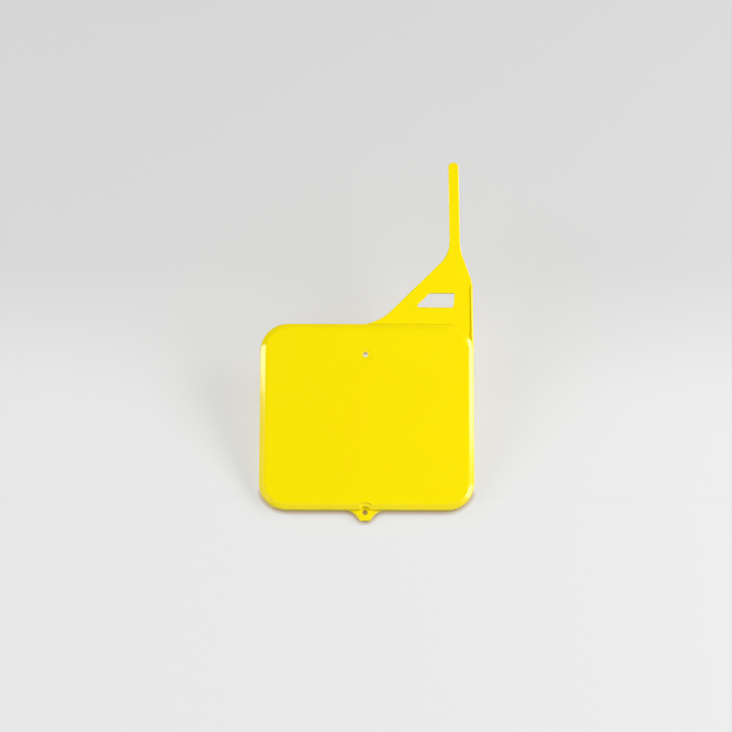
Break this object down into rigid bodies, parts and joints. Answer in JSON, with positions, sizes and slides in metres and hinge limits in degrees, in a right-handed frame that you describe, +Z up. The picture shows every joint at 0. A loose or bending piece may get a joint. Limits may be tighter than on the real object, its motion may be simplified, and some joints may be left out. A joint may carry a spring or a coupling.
{
  "type": "racing number board",
  "caption": "Moulded front number board for a motocross bike: shallow panel with a sloping rim, bolt sleeve, lower tab, and an arm with a cable window running up into a handlebar strap.",
  "frame": {"origin": "where the upper bolt's axis meets the plane that the board bolts on against", "axes": "+Z up along the board's height, +X to the right as seen from the front, +Y to the back, so the number face looks towards -Y"},
  "size_m": [0.25, 0.0135, 0.4293],
  "materials": {
    "number_board": "smooth moulded polypropylene, glossy, yellow all through"
  },
  "bodies": {
    "root": {"number_board": "number_board"}
  },
  "joints": []
}
